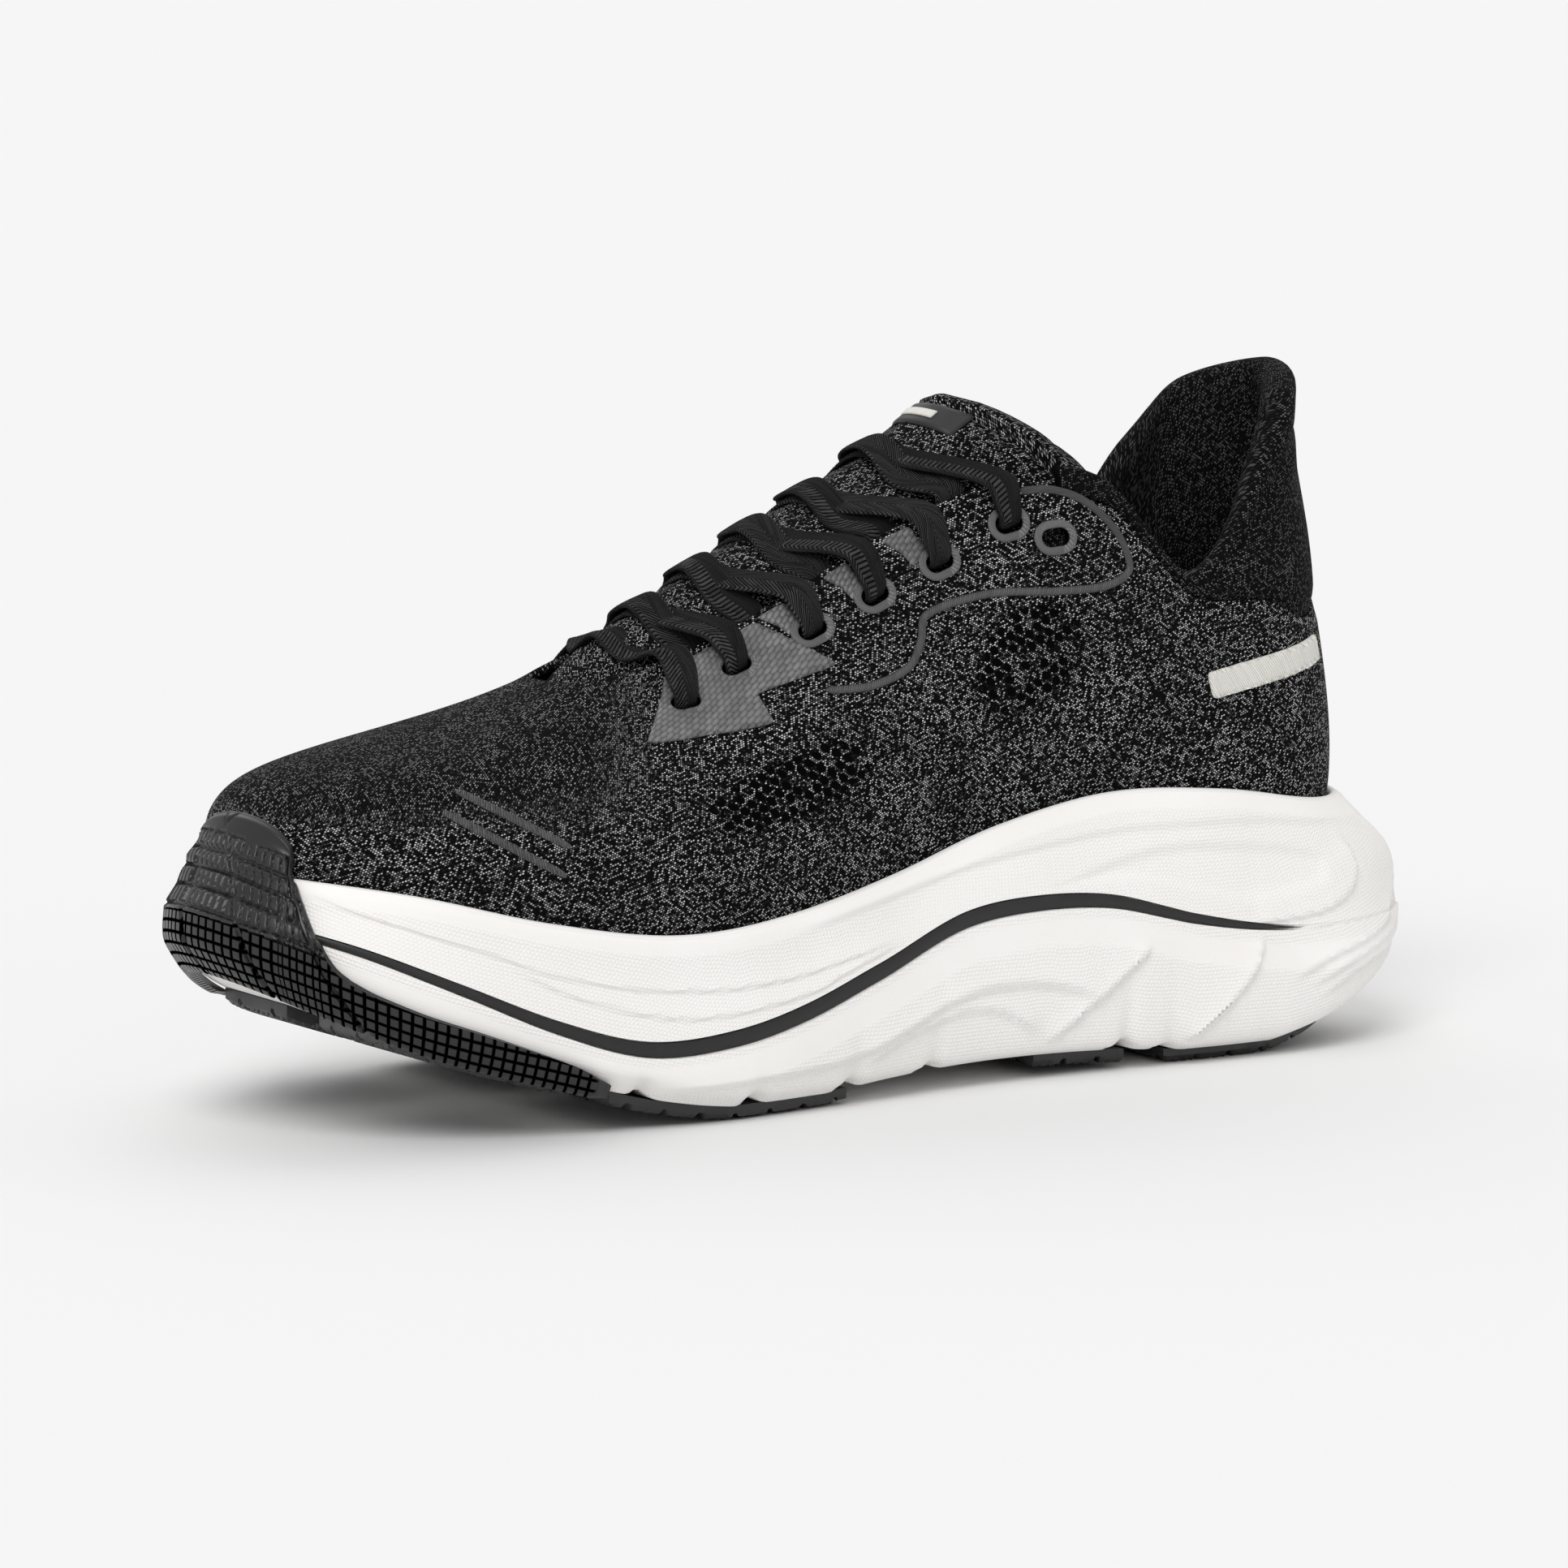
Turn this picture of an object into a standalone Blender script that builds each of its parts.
"""Running shoe, right foot: a foam sole with rubber pods, a knit upper, padded tongue and collar, one lace.

Toe at -X, heel at +X, medial side at -Y, +Z up; the origin is on the ground under the middle of the shoe.
The shape is held by a ring of ribs. Each rib runs from the feather line, where the upper meets the sole,
to the top line, which is the throat and the collar. Along the shoe, `s` is the distance from the upper's
toe, in metres.
"""

import math

import bmesh
import bpy
import numpy as np
from mathutils import Vector
from mathutils.geometry import delaunay_2d_cdt

MM = 0.001

# Driving dimensions
TOE_TIP, HEEL_TIP = -0.0064, 0.308
MIDDLE_S = (TOE_TIP + HEEL_TIP) / 2
MIDDLE_Y = 0.0014
FLEX_S = 0.076
FLEX_Z = 0.0440
FLEX_HALF_WEDGE = math.radians(14.5)
GAP = 0.4 * MM
KNIT = 1.6 * MM
COUNTER = 2.0 * MM
LINING = 1.0 * MM
STROBEL = 1.4 * MM
SOCKLINER = 4.4 * MM
POD_HEIGHT = 3.4 * MM
BUMPER_THICK = 1.7 * MM
GROOVE_DEPTH = 1.2 * MM
FILM = 0.5 * MM
LACE_WIDTH = 4.0 * MM
LACE_THICK = 1.2 * MM
LACE_CROWN = 4.5 * MM
EYELET_LENGTH = 7.0 * MM
EYELET_WIDTH = 4.4 * MM
AGLET_LENGTH = 14 * MM
AGLET_RADIUS = 1.6 * MM

# Ribs from the toe to the heel: the feather line's s and its y on the medial and the lateral side, the top
# line's s, half width and z, then the rib's handles: rise and lean at the foot, and back, drop and spread
# at the top.
RIBS = (
    (0.004, -0.009, -0.009, 0.0870, 0.0000, 0.0905, 0.026, 0.004, -0.046, 0.016, 0.000),
    (0.011, -0.0285, 0.012, 0.0872, 0.0060, 0.0905, 0.026, 0.004, -0.040, 0.016, 0.006),
    (0.033, -0.0430, 0.0360, 0.0895, 0.0105, 0.0910, 0.025, 0.003, -0.026, 0.013, 0.011),
    (0.068, -0.0495, 0.0500, 0.0980, 0.0148, 0.0930, 0.024, 0.004, -0.012, 0.013, 0.015),
    (0.100, -0.0500, 0.0530, 0.1130, 0.0182, 0.0975, 0.025, 0.004, -0.003, 0.015, 0.017),
    (0.135, -0.0445, 0.0505, 0.1360, 0.0225, 0.1090, 0.028, 0.004, 0.000, 0.018, 0.016),
    (0.170, -0.0385, 0.0445, 0.1600, 0.0245, 0.1216, 0.030, 0.005, 0.000, 0.022, 0.012),
    (0.200, -0.0365, 0.0412, 0.1900, 0.0270, 0.1325, 0.030, 0.005, 0.000, 0.026, 0.009),
    (0.222, -0.0366, 0.0395, 0.2130, 0.0310, 0.1305, 0.024, 0.005, 0.000, 0.022, 0.007),
    (0.245, -0.0368, 0.0382, 0.2370, 0.0330, 0.1080, 0.020, 0.004, 0.000, 0.012, 0.004),
    (0.268, -0.0325, 0.0330, 0.2580, 0.0300, 0.1320, 0.024, 0.003, -0.001, 0.026, 0.004),
    (0.283, -0.0200, 0.0205, 0.2715, 0.0220, 0.1460, 0.028, 0.003, -0.001, 0.032, 0.000),
    (0.290, 0.0005, 0.0005, 0.2830, 0.0000, 0.1515, 0.030, 0.004, -0.003, 0.034, 0.000),
)
SIDE_RIBS = len(RIBS) - 1
RING_RIBS = 2 * SIDE_RIBS
COLUMNS_PER_RIB = 3

# Heights along the shoe, as (s, z)
RIM_Z = ((0, 0.0580), (0.03, 0.0530), (0.06, 0.0455), (0.09, 0.0410), (0.12, 0.0430), (0.15, 0.0490),
         (0.18, 0.0572), (0.21, 0.0622), (0.24, 0.0610), (0.27, 0.0565), (0.305, 0.0560))
STRIPE_Z = ((0, 0.0500), (0.02, 0.0425), (0.04, 0.0330), (0.06, 0.0240), (0.08, 0.0180), (0.10, 0.0185),
            (0.12, 0.0225), (0.14, 0.0290), (0.165, 0.0380), (0.185, 0.0400), (0.205, 0.0390),
            (0.228, 0.0335), (0.25, 0.0298), (0.28, 0.0300), (0.305, 0.0320))
STRIPE_HALF = ((0, 0.0008), (0.04, 0.0013), (0.10, 0.0020), (0.17, 0.0020), (0.23, 0.0012),
               (0.262, 0.0004), (0.305, 0.0004))
FOAM_BOTTOM_Z = ((0, 0.0375), (0.01, 0.0320), (0.03, 0.0225), (0.06, 0.0130), (0.085, 0.0062),
                 (0.103, 0.0034), (0.128, 0.0034), (0.145, 0.0046), (0.18, 0.0056), (0.21, 0.0048),
                 (0.228, 0.0034), (0.252, 0.0034), (0.270, 0.0080), (0.285, 0.0150), (0.305, 0.0310))
FOOTBED_Z = ((0, 0.0420), (0.03, 0.0365), (0.06, 0.0310), (0.09, 0.0275), (0.12, 0.0270), (0.15, 0.0290),
             (0.18, 0.0320), (0.22, 0.0350), (0.26, 0.0365), (0.305, 0.0370))
BULGE = ((0, 0.0080), (0.03, 0.0074), (0.06, 0.007), (0.10, 0.008), (0.15, 0.009), (0.20, 0.011),
         (0.25, 0.012), (0.27, 0.014), (0.29, 0.018))
# The toe bumper's edge: (rib, height) where it crosses the foam's wall, the same on both sides of a middle rib
BUMPER_EDGE = ((1.0, 0.0600), (1.12, 0.0520), (1.24, 0.0460), (1.36, 0.0400), (1.54, 0.0355), (1.86, 0.0305),
               (2.34, 0.0240), (2.82, 0.0165), (3.10, 0.0115))
BUMPER_MIDDLE = 0.13

# Tongue centre line, as (s, z), with its half width and how far its edges drop
TONGUE = ((0.0885, 0.0870, 0.013, 0.007, 0.000), (0.1000, 0.0968, 0.018, 0.020, 0.001),
          (0.1125, 0.1040, 0.021, 0.027, 0.002), (0.1470, 0.1228, 0.028, 0.027, 0.007),
          (0.1700, 0.1353, 0.028, 0.026, 0.013), (0.1810, 0.1435, 0.025, 0.018, 0.018),
          (0.1880, 0.1490, 0.023, 0.012, 0.020))
TONGUE_THICK = 6.0 * MM
TONGUE_HINGE_S = 0.1775
TONGUE_BACK_TILT = math.radians(6)
HEEL_TAB_HINGE = (0.2700, 0.1220)
HEEL_TAB_LIFT = math.radians(13)

# The collar's lower seam, as (rib number, height up the rib), and its thickness, as (rib number, thickness)
COLLAR_SEAM = ((0, 1.0), (7.0, 1.0), (7.5, 0.93), (8.2, 0.92), (9.0, 0.88), (9.6, 0.70), (10.2, 0.54),
               (11.0, 0.50), (12.0, 0.52))
COLLAR_THICK = ((7.5, 0.0030), (8.4, 0.0045), (9.2, 0.0070), (12.0, 0.0070))
COLLAR_START = 7.5

# The knit's lower edge, as a height on the ribs: just above the footbed
UPPER_LOW_EDGE = -0.97

# Lace holes from the toe up, as (rib number, height up the rib); the last pair stays empty
EYELETS = ((3.80, 0.80), (4.35, 0.86), (5.05, 0.85), (5.70, 0.84), (6.30, 0.84), (6.90, 0.87), (7.30, 0.80))
LACED = 6
FILM_EYELETS = 3

SIDES = ((-1, "medial"), (1, "lateral"))

COLOURS = {
    "knit": (0.020, 0.020, 0.022),
    "lining": (0.014, 0.014, 0.015),
    "foam": (0.86, 0.84, 0.81),
    "rubber": (0.018, 0.018, 0.019),
    "film": (0.16, 0.16, 0.165),
    "lace": (0.012, 0.012, 0.013),
    "board": (0.55, 0.54, 0.50),
    "plastic": (0.30, 0.30, 0.32),
    "mark": (0.82, 0.81, 0.76),
}


def eased(points):
    """A smooth function through (place, value, ...) points; it holds its end values."""
    rows = np.array(points, float)
    x, y = rows[:, 0], rows[:, 1:]
    slope = np.stack([np.gradient(y[:, k], x) for k in range(y.shape[1])], axis=1)

    def value(place):
        t = np.clip(np.asarray(place, float), x[0], x[-1])
        i = np.clip(np.searchsorted(x, t, side="right") - 1, 0, len(x) - 2)
        h = (x[i + 1] - x[i])[..., None]
        w = ((t - x[i]) / (x[i + 1] - x[i]))[..., None]
        found = (1 + 2 * w) * (1 - w) ** 2 * y[i] + w * (1 - w) ** 2 * h * slope[i]
        found = found + w * w * (3 - 2 * w) * y[i + 1] + w * w * (w - 1) * h * slope[i + 1]
        return found[..., 0] if y.shape[1] == 1 else found

    return value


rim_z, stripe_z, stripe_half = eased(RIM_Z), eased(STRIPE_Z), eased(STRIPE_HALF)
footbed_z, bulge, collar_thick = eased(FOOTBED_Z), eased(BULGE), eased(COLLAR_THICK)


def collar_seam(rib):
    return np.minimum(eased(COLLAR_SEAM)(rib), 1.0)


def foam_bottom_z(s):
    return np.maximum(eased(FOAM_BOTTOM_Z)(s), POD_HEIGHT)


def side_and_rib(i):
    """Rib i of the ring: the toe is 0, the medial side follows, the heel is SIDE_RIBS."""
    return (-1, i) if i <= SIDE_RIBS else (1, RING_RIBS - i)


def rib_feet():
    feet = []
    for i in range(RING_RIBS):
        side, k = side_and_rib(i)
        s, medial, lateral = RIBS[k][:3]
        feet.append((s, medial if side < 0 else lateral))
    return np.array(feet)


def ring_spline(rows, u):
    """A closed smooth curve through rows, one row per unit of u."""
    rows = np.asarray(rows, float)
    n = len(rows)
    i = np.floor(u).astype(int)
    w = (u - i)[..., None]
    before, here, there, after = (rows[(i + k) % n] for k in (-1, 0, 1, 2))
    start, end = (there - before) / 2, (after - here) / 2
    found = (1 + 2 * w) * (1 - w) ** 2 * here + w * (1 - w) ** 2 * start
    return found + w * w * (3 - 2 * w) * there + w * w * (w - 1) * end


def plan_normal(u):
    """Outward direction of the feather line in plan."""
    step = 0.02
    along = ring_spline(rib_feet(), u + step) - ring_spline(rib_feet(), u - step)
    normal = np.stack([along[..., 1], -along[..., 0]], axis=-1)
    normal /= np.linalg.norm(normal, axis=-1, keepdims=True)
    return normal


def rib_controls():
    """Four control points for each rib of the ring, as (s, y, z)."""
    rows = []
    feet = rib_feet()
    normals = plan_normal(np.arange(RING_RIBS, dtype=float))
    for i in range(RING_RIBS):
        side, k = side_and_rib(i)
        top_s, half, top_z, rise, lean, back, drop, spread = RIBS[k][3:]
        s, y = feet[i]
        foot = np.array([s, y, float(rim_z(s))])
        top = np.array([top_s, side * half, top_z])
        low = foot + [normals[i][0] * lean, normals[i][1] * lean, rise]
        high = top + [back, side * spread, -drop]
        rows.append(np.concatenate([foot, low, high, top]))
    return np.array(rows)


CONTROLS = rib_controls()


def upper_surface(u, v):
    """Outer face of the upper at ring place u and height v.

    Height 0 is the feather line and 1 the top line; under 0 it runs down into the cup of the midsole.
    """
    u, v = np.broadcast_arrays(np.asarray(u, float), np.asarray(v, float))
    foot, low, high, top = np.split(ring_spline(CONTROLS, u), 4, axis=-1)
    w = np.clip(v, 0, None)[..., None]
    found = (1 - w) ** 3 * foot + 3 * (1 - w) ** 2 * w * low + 3 * (1 - w) * w * w * high + w**3 * top
    cup = (foot[..., 2] - footbed_z(foot[..., 0])) * np.clip(-v, 0, None)
    found[..., 2] -= cup
    return found


def upper_normal(u, v):
    u, v = np.broadcast_arrays(np.asarray(u, float), np.asarray(v, float))
    step = 0.01
    around = upper_surface(u + step, v) - upper_surface(u - step, v)
    up = upper_surface(u, v + step) - upper_surface(u, v - step)
    normal = np.cross(around, up)
    return normal / np.linalg.norm(normal, axis=-1, keepdims=True)


def at_depth(u, v, depth):
    """A point under the upper's outer face; a negative depth lies outside it."""
    return upper_surface(u, v) - upper_normal(u, v) * np.asarray(depth, float)[..., None]


def on_side(side, rib):
    """Ring place of a rib number on one side."""
    return rib if side < 0 else RING_RIBS - rib


def place(points):
    """Points as (s, y, z) become points of the row frame."""
    return np.asarray(points, float) - [MIDDLE_S, MIDDLE_Y, 0]


def make_object(name, points, faces, material, smooth=True):
    mesh = bpy.data.meshes.new(name)
    mesh.from_pydata([tuple(p) for p in place(points)], [], faces)
    mesh.validate()
    obj = bpy.data.objects.new(name, mesh)
    bpy.context.scene.collection.objects.link(obj)
    face_out(obj)
    if smooth:
        mesh.shade_smooth()
        mesh.set_sharp_from_angle(angle=math.radians(40))
    obj.data.materials.append(materials()[material])
    return obj


def face_out(obj):
    work = bmesh.new()
    work.from_mesh(obj.data)
    bmesh.ops.remove_doubles(work, verts=work.verts, dist=1e-6)
    bmesh.ops.recalc_face_normals(work, faces=work.faces)
    if work.calc_volume(signed=True) < 0:
        bmesh.ops.reverse_faces(work, faces=work.faces)
    work.to_mesh(obj.data)
    work.free()


def materials():
    """One Principled material for each colour, made once."""
    made = {}
    for name, colour in COLOURS.items():
        material = bpy.data.materials.get(name)
        if material is None:
            material = bpy.data.materials.new(name)
            material.use_nodes = True
            shader = material.node_tree.nodes["Principled BSDF"]
            shader.inputs["Base Color"].default_value = (*colour, 1)
            shader.inputs["Roughness"].default_value = 0.55 if name in ("rubber", "film") else 0.85
            shader.inputs["Metallic"].default_value = 0.0
        made[name] = material
    return made


def block(grid_in, grid_out, wrap=False):
    """Points and faces of the solid between two equal grids; wrap joins the last column to the first."""
    rows, columns = grid_in.shape[:2]
    points = np.concatenate([grid_in.reshape(-1, 3), grid_out.reshape(-1, 3)])
    other = rows * columns

    def at(r, c, layer):
        return layer * other + r * columns + c % columns

    faces = []
    spans = columns if wrap else columns - 1
    for r in range(rows - 1):
        for c in range(spans):
            faces.append((at(r, c, 0), at(r, c + 1, 0), at(r + 1, c + 1, 0), at(r + 1, c, 0)))
            faces.append((at(r, c, 1), at(r + 1, c, 1), at(r + 1, c + 1, 1), at(r, c + 1, 1)))
    for c in range(spans):
        for r in (0, rows - 1):
            faces.append((at(r, c, 0), at(r, c, 1), at(r, c + 1, 1), at(r, c + 1, 0)))
    if not wrap:
        for r in range(rows - 1):
            for c in (0, columns - 1):
                faces.append((at(r, c, 0), at(r + 1, c, 0), at(r + 1, c, 1), at(r, c, 1)))
    return points, faces


def triangulated(outline, spacing):
    """Flat points and triangles that fill a closed outline, with inner points about spacing apart."""
    corners = []
    for a, b in zip(outline, (*outline[1:], outline[0])):
        a, b = np.array(a), np.array(b)
        parts = int(max(1, *np.ceil(np.abs(b - a) / spacing)))
        corners += [Vector(a + (b - a) * k / parts) for k in range(parts)]
    low = np.min(outline, axis=0)
    size = np.max(outline, axis=0) - low
    counts = np.maximum(2, np.ceil(size / spacing)).astype(int)
    inner = [
        Vector((low[0] + size[0] * a / counts[0], low[1] + size[1] * b / counts[1]))
        for a in range(1, counts[0])
        for b in range(1, counts[1])
    ]
    found = delaunay_2d_cdt(corners + inner, [], [list(range(len(corners)))], 1, 1e-6)
    used = sorted({i for face in found[2] for i in face})
    number = {old: new for new, old in enumerate(used)}
    faces = [tuple(number[i] for i in face) for face in found[2]]
    return np.array([tuple(found[0][i]) for i in used]), faces


def two_layers(faces, lower, upper):
    """Points and faces of the closed solid between two layers that share the same flat faces."""
    n = len(lower)
    solid = [tuple(face) for face in faces] + [tuple(i + n for i in reversed(face)) for face in faces]
    edges = {(a, b) for face in faces for a, b in zip(face, (*face[1:], face[0]))}
    solid += [(b, a, a + n, b + n) for a, b in sorted(edges) if (b, a) not in edges]
    return np.concatenate([lower, upper]), solid


def patch(name, outline, depths, material, spacing=(0.16, 0.05)):
    """A film on the upper with a free outline, given as (u, v) corners."""
    flat, faces = triangulated(outline, spacing)
    lower, upper = (at_depth(flat[:, 0], flat[:, 1], depth) for depth in depths)
    return make_object(name, *two_layers(faces, lower, upper), material)


def mirrored(outline, side):
    """A medial outline of (u, v) corners, moved to the given side."""
    return [(on_side(side, rib), v) for rib, v in outline]


def ring_places(per_rib=COLUMNS_PER_RIB):
    return np.arange(RING_RIBS * per_rib) / per_rib


def wall_point(u, offset, z):
    """A point beside the feather line, offset outwards in plan, at height z."""
    u, offset, z = np.broadcast_arrays(np.asarray(u, float), offset, z)
    plan = ring_spline(rib_feet(), u) + plan_normal(u) * offset[..., None]
    return np.concatenate([plan, z[..., None]], axis=-1)


def cap(points, faces, ring, across, lift=None):
    """Fills a ring of vertices with rows across the shoe, from the toe's vertex to the heel's."""
    half = len(ring) // 2
    rows = []
    for i in range(1, half):
        a, b = ring[i], ring[-i]
        row = [a]
        for k in range(1, across):
            p = points[a] + (points[b] - points[a]) * k / across
            if lift:
                p = p + [0, 0, lift(i / half, k / across)]
            points.append(p)
            row.append(len(points) - 1)
        rows.append([*row, b])
    for low, high in zip(rows, rows[1:]):
        for k in range(across):
            faces.append((low[k], low[k + 1], high[k + 1], high[k]))
    for k in range(across):
        faces.append((ring[0], rows[0][k + 1], rows[0][k]))
        faces.append((ring[half], rows[-1][k], rows[-1][k + 1]))


def sole_wall(u):
    """Outward offsets and heights of the midsole's outer wall, from the ground edge up to the rim."""
    s = ring_spline(rib_feet(), u)[..., 0]
    swell, rim, stripe, half = bulge(s), rim_z(s), stripe_z(s), stripe_half(s)
    ground = foam_bottom_z(wall_point(u, swell * 0.45, 0)[..., 0])
    return (
        (swell * 0.45, ground),
        (swell * 0.85, ground + 3 * MM),
        (swell, ground + (stripe - ground) * 0.5),
        (swell * 0.97, stripe - half),
        (swell * 0.93, stripe + half),
        (swell * 0.62, (stripe + rim) / 2),
        (3.4 * MM + 0 * s, rim - 2.2 * MM),
        (2.4 * MM + 0 * s, rim - 0.2 * MM),
    )


def sole_levels(u):
    """The midsole's rings: up its outer wall with the stripe's groove, over the rim, down to the footbed."""
    s = ring_spline(rib_feet(), u)[..., 0]
    outer = [wall_point(u, offset, z) for offset, z in sole_wall(u)]
    half = stripe_half(s) * 0.9
    groove = [wall_point(u, bulge(s) - GROOVE_DEPTH, stripe_z(s) + half * end) for end in (-1, 1)]
    cup = [wall_point(u, GAP, z) for z in (rim_z(s) - 0.6 * MM, footbed_z(s))]
    return [*outer[:4], *groove, *outer[4:], *cup]


def rings_solid(levels, across):
    """Points and faces of the closed solid whose wall runs through the rings, capped at both ends."""
    points = [p for ring in levels for p in ring]
    n = len(levels[0])
    faces = []
    for k in range(len(levels) - 1):
        for c in range(n):
            a, b = k * n + c, k * n + (c + 1) % n
            faces.append((a, b, b + n, a + n))
    cap(points, faces, list(range(n)), across)
    cap(points, faces, [(len(levels) - 1) * n + c for c in range(n)], across)
    return np.array(points), faces


def prism(name, profile):
    """A cutter as wide as the shoe whose outline, seen from the side, is given as (s, z) corners."""
    reach = 0.2
    points = [(s, y, z) for y in (-reach, reach) for s, z in profile]
    return helper(name, points, prism_faces(len(profile)))


def prism_faces(n):
    faces = [tuple(range(n)), tuple(range(2 * n - 1, n - 1, -1))]
    return faces + [(i, i + n, (i + 1) % n + n, (i + 1) % n) for i in range(n)]


def helper(name, points, faces):
    """A cutter: a closed mesh that isn't a part."""
    obj = make_object(name, points, faces, "plastic", smooth=False)
    obj.hide_render = True
    obj.display_type = "WIRE"
    return obj


def make_flex_cutters():
    """The toe side, the heel side, and the wedge between them, which opens upwards from the flex axis."""
    reach = 0.4
    lean = math.tan(FLEX_HALF_WEDGE)
    for name, sign in (("cut_toe_side", -1), ("cut_heel_side", 1)):
        near = FLEX_S + sign * GAP / 2
        top = near + sign * lean * reach
        far = near + sign * reach
        upper = [(top, FLEX_Z + reach), (far, FLEX_Z + reach)]
        prism(name, [(near, -0.1), (near, FLEX_Z), *upper, (far, -0.1)])
    inset = 1.5 * GAP
    base = FLEX_Z + inset / lean
    width = lean * reach - inset
    upper = [(FLEX_S + width, FLEX_Z + reach), (FLEX_S - width, FLEX_Z + reach)]
    prism("cut_flex_band", [(FLEX_S, base), *upper])


def make_tongue_cutters():
    """The tongue below and above its fold, which runs square to the tongue through the hinge."""
    reach = 0.08
    s, z = tongue_hinge()
    slope = tongue_row(TONGUE_HINGE_S + MM)[0] - tongue_row(TONGUE_HINGE_S - MM)[0]
    down = math.atan2(-2 * MM, slope)
    cuts = (("cut_tongue_low", down, -1), ("cut_tongue_top", down + TONGUE_BACK_TILT, 1))
    for name, angle, side in cuts:
        along = np.array([math.cos(angle), math.sin(angle)])
        across = np.array([-along[1], along[0]]) * side
        start = np.array([s, z]) + across * GAP / 2
        corners = (start - along * reach / 4, start + along * reach)
        prism(name, [*corners, corners[1] + across * reach, corners[0] + across * reach])


def make_heel_tab_cutters():
    """The heel tab above its hinge, and all that the collar leaves free there."""
    s, z = HEEL_TAB_HINGE
    front, back, top = 0.030, 0.060, 0.3
    rise = math.tan(HEEL_TAB_LIFT)
    corners = [(s + back, top), (s - front, top)]
    lower = [(s - front, z + rise * front), (s, z + GAP / 2), (s + back, z + rise * back)]
    prism("cut_heel_tab", [*lower, *corners])
    prism("cut_over_collar", [(s - front, z - GAP / 2), (s + back, z - GAP / 2), *corners])


def cut(obj, cutter, operation):
    change = obj.modifiers.new(operation.title(), "BOOLEAN")
    change.operation = operation
    change.object = bpy.data.objects[cutter]
    change.solver = "EXACT"


def keep(obj, cutter):
    cut(obj, cutter, "INTERSECT")


def remove(obj, cutter):
    cut(obj, cutter, "DIFFERENCE")


def copy_of(obj, name):
    """A second object with the same mesh and modifiers."""
    new = obj.copy()
    new.data = obj.data.copy()
    new.name = name
    new.data.name = name
    bpy.context.scene.collection.objects.link(new)
    return new


def split_at_flex(obj, toe_name):
    """Keeps obj behind the flex line and makes its toe part a second object."""
    toe = copy_of(obj, toe_name)
    keep(toe, "cut_toe_side")
    keep(obj, "cut_heel_side")
    return toe


def eyelet_frame(side, number):
    """Centre, outward normal and direction along the throat of a lace hole."""
    rib, v = EYELETS[number]
    step = 0.05
    centre = upper_surface(on_side(side, rib), v)
    normal = upper_normal(on_side(side, rib), v)
    along = upper_surface(on_side(side, rib + step), v) - upper_surface(on_side(side, rib - step), v)
    along = along - normal * (along @ normal)
    return centre, normal, along / np.linalg.norm(along)


def stadium(length, width, arc=4):
    """A slot's outline about its centre, long side first, with arc steps in each round end."""
    r = width / 2
    run = length / 2 - r
    turns = [math.pi * k / arc - math.pi / 2 for k in range(arc + 1)]
    right = [(run + r * math.cos(a), r * math.sin(a)) for a in turns]
    return right + [(-x, -y) for x, y in right]


def slot_ring(side, number, length, width, height):
    """A slot's outline on the upper about a lace hole, at a height over the upper."""
    centre, normal, along = eyelet_frame(side, number)
    across = np.cross(normal, along)
    return [centre + along * a + across * b + normal * height for a, b in stadium(length, width)]


def make_eyelet_cutters():
    reach = 5 * MM
    for side, word in SIDES:
        for number in range(len(EYELETS)):
            low, high = (slot_ring(side, number, EYELET_LENGTH, EYELET_WIDTH, end) for end in (-reach, reach))
            points = [*low, *high]
            helper(f"cut_eyelet_{word}_{number + 1}", points, prism_faces(len(points) // 2))


def make_eyelets():
    """Reinforcing rings round the lace holes that the film doesn't reach."""
    hole, rim = 0.4 * MM, 4.2 * MM
    section = ((rim, GAP), (hole, GAP), (hole, GAP + FILM), (rim, GAP + FILM))
    for side, word in SIDES:
        for number in range(FILM_EYELETS, len(EYELETS)):
            loops = [
                slot_ring(side, number, EYELET_LENGTH + grow, EYELET_WIDTH + grow, height)
                for grow, height in section
            ]
            n = len(loops[0])
            faces = [
                (k * n + c, k * n + (c + 1) % n, (k + 1) % 4 * n + (c + 1) % n, (k + 1) % 4 * n + c)
                for k in range(4)
                for c in range(n)
            ]
            make_object(f"eyelet_{word}_{number + 1}", [p for loop in loops for p in loop], faces, "film")


def make_upper():
    """The knit shell: the vamp in front of the flex line, the quarters behind it, and the fold between."""
    u = ring_places()
    top = collar_seam(np.minimum(u, RING_RIBS - u))
    levels = np.array([0, 0.25, 0.48, 0.55, 0.63, 0.70, 0.77, 0.84, 0.90, 0.95, 1.0])[:, None]
    v = UPPER_LOW_EDGE + (top - UPPER_LOW_EDGE) * levels
    quarters = make_object("quarters", *block(at_depth(u, v, KNIT), at_depth(u, v, 0), wrap=True), "knit")
    fold = copy_of(quarters, "vamp_fold")
    keep(fold, "cut_flex_band")
    split_at_flex(quarters, "vamp")
    for _, word in SIDES:
        for number in range(len(EYELETS)):
            remove(quarters, f"cut_eyelet_{word}_{number + 1}")


def make_films():
    outline = ((3.50, 0.64), (3.48, 0.93), (4.00, 0.965), (4.60, 0.975), (5.15, 0.96), (5.45, 0.90),
               (5.50, 0.76), (4.95, 0.73), (4.70, 0.63), (4.15, 0.74), (3.95, 0.66))
    for side, word in SIDES:
        film = patch(f"eyestay_film_{word}", mirrored(outline, side), (-GAP, -GAP - FILM), "film")
        for number in range(FILM_EYELETS):
            remove(film, f"cut_eyelet_{word}_{number + 1}")


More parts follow.
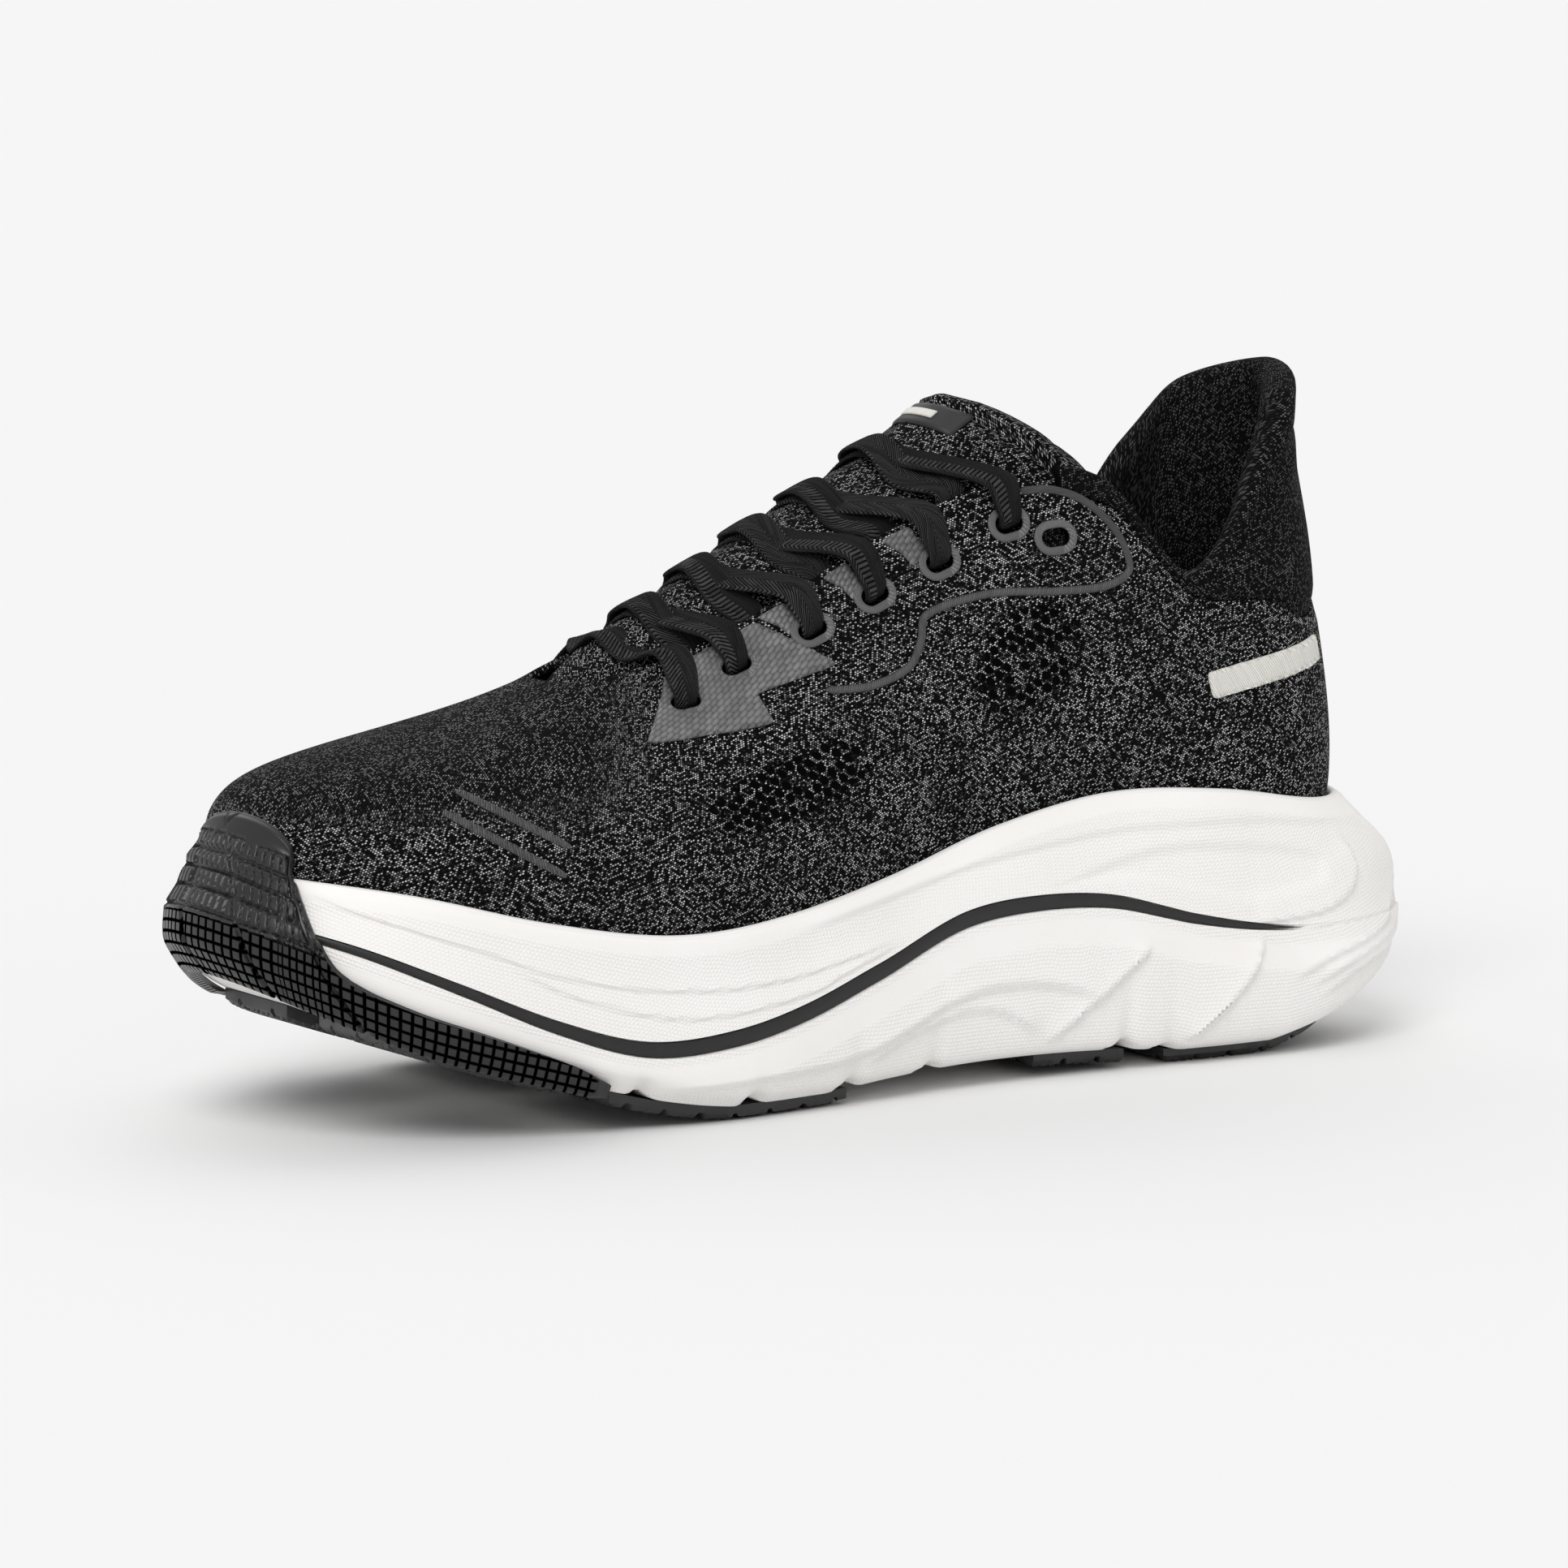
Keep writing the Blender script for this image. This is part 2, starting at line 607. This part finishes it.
def make_marks():
    """Plain stitched bars on the toe and a plain slanted bar on each side of the heel."""
    bars = (("low", 0.13), ("high", 0.23))
    for side, word in SIDES:
        for height, v in bars:
            outline = [(2.0, v + 0.19), (2.0, v + 0.14), (2.85, v), (2.85, v + 0.05)]
            patch(f"toe_bar_{word}_{height}", mirrored(outline, side), (-GAP, -GAP - FILM), "film")
        outline = [(8.72, 0.42), (8.84, 0.36), (10.25, 0.38), (10.62, 0.45), (10.25, 0.47)]
        patch(f"heel_bar_{word}", mirrored(outline, side), (-GAP, -GAP - FILM), "mark")


def columns_from(rib):
    """Ring places on the upper's columns, round the heel from a rib to the same one on the other side."""
    places = ring_places()
    return places[(places >= rib) & (places <= RING_RIBS - rib)]


def make_heel_parts():
    """Counter, lining and collar, which wrap the heel from one side to the other."""
    u = columns_from(9.3)
    v = np.linspace(-0.58, 0.44, 6)[:, None]
    inner, outer = (at_depth(u, v, KNIT + GAP + depth) for depth in (COUNTER, 0))
    make_object("heel_counter", *block(inner, outer), "plastic")

    u = columns_from(COLLAR_START)
    rib = np.minimum(u, RING_RIBS - u)
    v = -0.58 + (collar_seam(rib) - 0.02 + 0.58) * np.linspace(0, 1, 8)[:, None]
    start = KNIT + 2 * GAP + COUNTER
    pad = np.clip((v - 0.25) / 0.3, 0, 1) * np.clip(collar_thick(rib) - start - LINING, 0, 1)
    inner, outer = (at_depth(u, v, start + depth) for depth in (LINING + pad, 0))
    make_object("heel_lining", *block(inner, outer), "lining")

    low = collar_seam(rib) + 0.015
    v = low + (1 - low) * np.linspace(0, 1, 7)[:, None]
    collar = make_object("collar", *block(at_depth(u, v, collar_thick(rib)), at_depth(u, v, 0)), "lining")
    tab = copy_of(collar, "heel_tab")
    keep(tab, "cut_heel_tab")
    remove(collar, "cut_over_collar")


def tongue_row(s):
    """Height, half width, edge drop and edge sweep of the tongue where its middle is at s."""
    return eased(TONGUE)(s)


def tongue_surface(s, q, height=0.0):
    """A point over the tongue's outer face: q runs from -1 at the medial edge to 1 at the lateral one."""
    s, q = np.broadcast_arrays(np.asarray(s, float), np.asarray(q, float))

    def face(s, q):
        z, half, drop, sweep = np.moveaxis(tongue_row(s), -1, 0)
        fall = drop * q**2 * (0.55 + 0.45 * q**2)
        return np.stack([s + sweep * q**2, half * q, z - fall], axis=-1)

    step = 0.5 * MM
    along = face(s + step, q) - face(s - step, q)
    across = face(s, q + 0.01) - face(s, q - 0.01)
    normal = np.cross(along, across)
    normal /= np.linalg.norm(normal, axis=-1, keepdims=True)
    return face(s, q) + normal * np.asarray(height)[..., None]


def tongue_hinge():
    """The tongue's fold in the middle of the shoe, just over its outer face, as (s, z)."""
    s, _, z = tongue_surface(TONGUE_HINGE_S, 0, 0.5 * MM)
    return s, z


def make_tongue():
    s = np.linspace(TONGUE[0][0], TONGUE[-1][0], 15)[:, None]
    q = np.linspace(-1, 1, 11)[None, :]
    under, over = tongue_surface(s, q, -TONGUE_THICK), tongue_surface(s, q)
    tongue = make_object("tongue", *block(under, over), "knit")
    top = copy_of(tongue, "tongue_top")
    keep(tongue, "cut_tongue_low")
    keep(top, "cut_tongue_top")

    s = np.linspace(0.1798, 0.1868, 3)[:, None]
    q = np.linspace(-0.42, 0.42, 6)[None, :]
    label = block(tongue_surface(s, q, GAP), tongue_surface(s, q, GAP + 0.8 * MM))
    make_object("tongue_label", *label, "film")


def make_sole():
    rings = sole_levels(ring_places())
    midsole = make_object("midsole_rear", *rings_solid(rings, 6), "foam")
    split_at_flex(midsole, "midsole_front")

    bed = footbed_z(ring_spline(rib_feet(), ring_places(2))[..., 0])
    floor = bed + GAP
    board = inset_slab(2.1 * MM, 2.1 * MM, floor, floor + STROBEL)
    split_at_flex(make_object("strobel_rear", *board, "board"), "strobel_front")
    floor = bed + 2 * GAP + STROBEL
    liner = inset_slab(2.4 * MM, 6.4 * MM, floor, floor + SOCKLINER)
    split_at_flex(make_object("sockliner_rear", *liner, "lining"), "sockliner_front")


def inset_slab(toe_inset, heel_inset, low, high):
    """A slab inside the feather line between two heights, set in further at the heel than at the toe."""
    u = ring_places(2)
    s = ring_spline(rib_feet(), u)[..., 0]
    inset = toe_inset + (heel_inset - toe_inset) * np.clip((s - FLEX_S) / 0.05, 0, 1)
    return rings_solid((wall_point(u, -inset, low), wall_point(u, -inset, high)), 4)


def make_stripe():
    """The dark line let into the midsole's groove: one piece round the toe and one down each side."""
    reach = 9.9
    u = np.linspace(-reach, reach, 67)
    s = ring_spline(rib_feet(), u)[..., 0]
    half = np.maximum(stripe_half(s) * 0.9 - 0.25 * MM, 0.25 * MM)
    lift = np.array([-1, 1])[:, None]
    inner = wall_point(u, bulge(s) - GROOVE_DEPTH + 0.3 * MM, stripe_z(s) + lift * half)
    outer = wall_point(u, bulge(s) - 0.1 * MM, stripe_z(s) + lift * half)
    stripe = make_object("stripe_toe", *block(inner, outer), "rubber")
    for _, word in SIDES:
        part = copy_of(stripe, f"stripe_{word}")
        keep(part, "cut_heel_side")
        keep(part, f"cut_{word}_half")
    keep(stripe, "cut_toe_side")


def make_pods():
    """Rubber pods under the foam. Each is named with its side, its first and last rib and its inner edge."""
    pods = (("front", 1.75, 2.85, 0.007), ("ball", 3.15, 5.0, 0.006), ("arch", 6.6, 7.6, 0.012),
            ("heel", 8.1, 11.3, 0.009))
    for word_along, first, last, inner in pods:
        for side, word in SIDES:
            u = on_side(side, np.linspace(first, last, 10))
            edge = wall_point(u, 0.2 * bulge(ring_spline(rib_feet(), u)[..., 0]), 0 * u)[:, :2]
            tail = [(edge[-1][0] - 2 * MM, side * inner), (edge[0][0] + 2 * MM, side * inner)]
            flat, faces = triangulated([tuple(p) for p in edge] + tail, (8 * MM, 12 * MM))
            under = foam_bottom_z(flat[:, 0])[:, None]
            lower = np.hstack([flat, under - POD_HEIGHT])
            upper = np.hstack([flat, under - 2 * GAP])
            make_object(f"outsole_{word_along}_{word}", *two_layers(faces, lower, upper), "rubber")


def make_toe_bumper():
    """Rubber that wraps up over the toe; its edges sweep down and back along the foam's lower edge."""
    u = np.linspace(2 * BUMPER_MIDDLE - BUMPER_EDGE[-1][0], BUMPER_EDGE[-1][0], 72)
    wall = sole_wall(u)
    under, low = wall[0]
    inner = [wall_point(u, under * 0.7, low - 2 * GAP), wall_point(u, under, low - 2 * GAP)]
    bottom = low - GAP - BUMPER_THICK
    outer = [wall_point(u, under * 0.7, bottom), wall_point(u, under + BUMPER_THICK, bottom)]
    for offset, z in wall[1:]:
        inner.append(wall_point(u, offset + 2 * GAP, z))
        outer.append(wall_point(u, offset + 2 * GAP + BUMPER_THICK, z))
    rim = wall[-1][1]
    inner.append(wall_point(u, 2.4 * MM + GAP, rim + 1.6 * MM))
    outer.append(wall_point(u, 2.4 * MM + GAP + BUMPER_THICK, rim + 2.0 * MM))
    tab = np.sqrt(np.clip(1 - ((u - 0.2) / 0.85) ** 2, 0.01, 1))
    for share in (0.5, 1.0):
        inner.append(at_depth(u, 0.04 + 0.14 * share * tab, -2 * GAP))
        outer.append(at_depth(u, 0.04 + 0.14 * share * tab, -2 * GAP - 0.9 * BUMPER_THICK))
    reach = np.abs(u - BUMPER_MIDDLE) + BUMPER_MIDDLE
    heights = np.array([z for _, z in wall])
    inner, outer, count = np.array(inner), np.array(outer), len(inner)
    lined, faced = np.empty((2, 2 * count - 1, len(u), 3))
    for column, edge in enumerate(eased(BUMPER_EDGE)(reach)):
        last = 1 + np.interp(edge, heights[:, column], np.arange(len(wall)))
        rows = np.linspace(0, last if reach[column] > 1 else count - 1, 2 * count - 1)
        for k in range(3):
            lined[:, column, k] = np.interp(rows, np.arange(count), inner[:, column, k])
            faced[:, column, k] = np.interp(rows, np.arange(count), outer[:, column, k])
    make_object("toe_bumper", *block(lined, faced), "rubber")


def lace_half(side, high):
    """Half of the lace, from the middle of the front bar to its tucked end: rows of (point, width direction).

    At each lace hole it goes down on the outside of the upper and runs back under the eyestay to the throat's
    edge. There it comes out and crosses to the next hole on the other side. Where two runs cross, one lies
    high.
    """
    along = eyelet_frame(side, 0)[2]
    rows = [(tongue_surface(0.1035, side * q, 1.5 * MM), along) for q in (0, 0.5)]
    rows += lace_into(side, 0)
    for number in range(LACED - 1):
        rows += lace_across(side, number, high)
        side, high = -side, not high
        rows += lace_into(side, number + 1)
    for rib, v, depth in ((6.60, 0.74, 3.6), (6.0, 0.66, 3.6), (5.3, 0.59, 3.8), (4.7, 0.54, 4.4)):
        u = on_side(side, rib)
        up = upper_surface(u, v + 0.05) - upper_surface(u, v - 0.05)
        rows.append((at_depth(u, v, depth * MM), up / np.linalg.norm(up)))
    return rows


def lace_into(side, number):
    """Over the throat's edge and down through a lace hole."""
    rib, v = EYELETS[number]
    centre, normal, along = eyelet_frame(side, number)
    inward = upper_surface(on_side(side, rib), v + 0.05) - centre
    inward = inward / np.linalg.norm(inward)
    return [
        (at_depth(on_side(side, rib - 0.05), 1.0, -2.0 * MM), along),
        (centre + normal * 2.0 * MM + inward * 3.2 * MM, along),
        (centre + normal * 1.2 * MM + inward * 0.6 * MM, along),
        (centre - normal * 1.2 * MM - inward * 0.2 * MM, along),
        (centre - normal * 3.4 * MM + inward * 1.4 * MM, along),
    ]


def lace_across(side, number, high):
    """From under a lace hole out at the throat's edge and over the tongue towards the other side."""
    rib, v = EYELETS[number]
    next_rib = EYELETS[number + 1][0]
    out = rib + 0.38 * (next_rib - rib)
    along = upper_surface(on_side(side, out + 0.1), 1.0) - upper_surface(on_side(side, out - 0.1), 1.0)
    along = along / np.linalg.norm(along)
    start = at_depth(on_side(side, out), 1.04, KNIT + 1.3 * MM)
    end = at_depth(on_side(-side, next_rib - 0.05), 1.0, 0)
    rows = [
        (at_depth(on_side(side, (rib + out) / 2), (1 + v) / 2, KNIT + 1.7 * MM), along),
        (at_depth(on_side(side, out), 0.97, KNIT + 1.7 * MM), along),
        (start, along),
    ]
    heights = (1.5, 3.0, 3.5, 2.9) if high else (1.4, 1.3, 1.3, 1.5)
    for q, height in zip((0.45, 0.20, 0.0, -0.35), heights):
        s = start[0] + (end[0] - start[0]) * (1 - q) / 2 - LACE_CROWN * (1 - q * q)
        sweep = tongue_row(s)[3] * q * q
        rows.append((tongue_surface(s - sweep, side * q, height * MM), along))
    return rows


def lace_path():
    """The whole lace, from end to end, as a smooth row of points and width directions."""
    first, second = lace_half(-1, True), lace_half(1, False)
    rows = list(reversed(first)) + second[1:]
    points = np.array([p for p, _ in rows])
    widths = np.array([w for _, w in rows])
    return smooth_through(points, widths, 2)


def smooth_through(points, widths, steps):
    """Points between the given ones on a centripetal curve, with the width directions blended."""
    rows, blended = [points[0]], [widths[0]]
    last = len(points) - 1
    for i in range(last):
        p = [points[max(i - 1, 0)], points[i], points[i + 1], points[min(i + 2, last)]]
        gaps = [max(np.linalg.norm(b - a), 1e-6) ** 0.5 for a, b in zip(p, p[1:])]
        start = (p[2] - p[0]) * gaps[1] / (gaps[0] + gaps[1])
        end = (p[3] - p[1]) * gaps[1] / (gaps[1] + gaps[2])
        for k in range(1, steps + 1):
            w = k / steps
            a, b = (1 + 2 * w) * (1 - w) ** 2, w * (1 - w) ** 2
            c, d = w * w * (3 - 2 * w), w * w * (w - 1)
            rows.append(a * p[1] + b * start + c * p[2] + d * end)
            blended.append(widths[i] * (1 - w) + widths[i + 1] * w)
    return np.array(rows), np.array(blended)


def ribbon(name, points, widths, width, thick, material):
    """A flat cord with rounded edges along points."""
    along = np.gradient(points, axis=0)
    along /= np.linalg.norm(along, axis=1, keepdims=True)
    side = widths - along * (widths * along).sum(axis=1)[:, None]
    side /= np.linalg.norm(side, axis=1, keepdims=True)
    up = np.cross(side, along)
    w, h = width / 2, thick / 2
    section = ((w, 0), (w - h, h), (h - w, h), (-w, 0), (h - w, -h), (w - h, -h))
    loops = [points + side * a + up * b for a, b in section]
    corners = np.stack(loops, axis=1).reshape(-1, 3)
    n = len(section)
    last = (len(points) - 1) * n
    faces = [(k * n + c, k * n + (c + 1) % n, (k + 1) * n + (c + 1) % n, (k + 1) * n + c)
             for k in range(len(points) - 1) for c in range(n)]
    faces += [tuple(range(n)), tuple(range(last + n - 1, last - 1, -1))]
    return make_object(name, corners, faces, material)


def make_lace():
    points, widths = lace_path()
    ribbon("lace", points, widths, LACE_WIDTH, LACE_THICK, "lace")
    for word, end, before in (("a", points[0], points[1]), ("b", points[-1], points[-2])):
        along = (end - before) / np.linalg.norm(end - before)
        make_aglet(f"aglet_{word}", end + along * GAP, along)


def make_aglet(name, start, along):
    bpy.ops.mesh.primitive_cylinder_add(vertices=12, radius=AGLET_RADIUS, depth=AGLET_LENGTH)
    aglet = bpy.context.object
    aglet.name = name
    aglet.data.name = name
    aglet.location = place(start + along * AGLET_LENGTH / 2)
    aglet.rotation_euler = Vector(along).to_track_quat("Z", "Y").to_euler()
    aglet.data.shade_smooth()
    aglet.data.set_sharp_from_angle(angle=math.radians(40))
    aglet.data.materials.append(materials()["plastic"])


def make_side_cutters():
    for side, word in SIDES:
        corners = [(s, y, z) for s in (-0.1, 0.4) for y in (side * 0.001, side * 0.2) for z in (-0.1, 0.3)]
        faces = [(0, 1, 3, 2), (4, 6, 7, 5), (0, 4, 5, 1), (2, 3, 7, 6), (0, 2, 6, 4), (1, 5, 7, 3)]
        helper(f"cut_{word}_half", corners, faces)


def hang_on(hinge_name, point, names):
    """Puts pieces under an empty on their joint's axis, without moving them."""
    hinge = bpy.data.objects.new(hinge_name, None)
    hinge.location = place(point)
    bpy.context.scene.collection.objects.link(hinge)
    bpy.context.view_layer.update()
    for name in names:
        obj = bpy.data.objects[name]
        obj.parent = hinge
        obj.matrix_parent_inverse = hinge.matrix_world.inverted()


def add_hinges():
    toe = ["midsole_front", "strobel_front", "sockliner_front", "vamp", "stripe_toe", "toe_bumper"]
    toe += [f"outsole_front_{word}" for _, word in SIDES]
    toe += [f"toe_bar_{word}_{where}" for _, word in SIDES for where in ("low", "high")]
    hang_on("toe_flex_axis", (FLEX_S, 0, FLEX_Z), toe)
    s, z = tongue_hinge()
    hang_on("tongue_tilt_axis", (s, 0, z), ["tongue_top", "tongue_label"])
    s, z = HEEL_TAB_HINGE
    hang_on("heel_tab_axis", (s, 0, z), ["heel_tab"])
    sockliner_z = float(footbed_z(FLEX_S)) + 2 * GAP + STROBEL
    hang_on("sockliner_axis", (FLEX_S, 0, sockliner_z), ["sockliner_rear"])


def main():
    for obj in list(bpy.data.objects):
        bpy.data.objects.remove(obj)
    make_side_cutters()
    make_flex_cutters()
    make_tongue_cutters()
    make_heel_tab_cutters()
    make_eyelet_cutters()
    make_sole()
    make_stripe()
    make_pods()
    make_toe_bumper()
    make_upper()
    make_films()
    make_eyelets()
    make_marks()
    make_heel_parts()
    make_tongue()
    make_lace()
    add_hinges()


main()
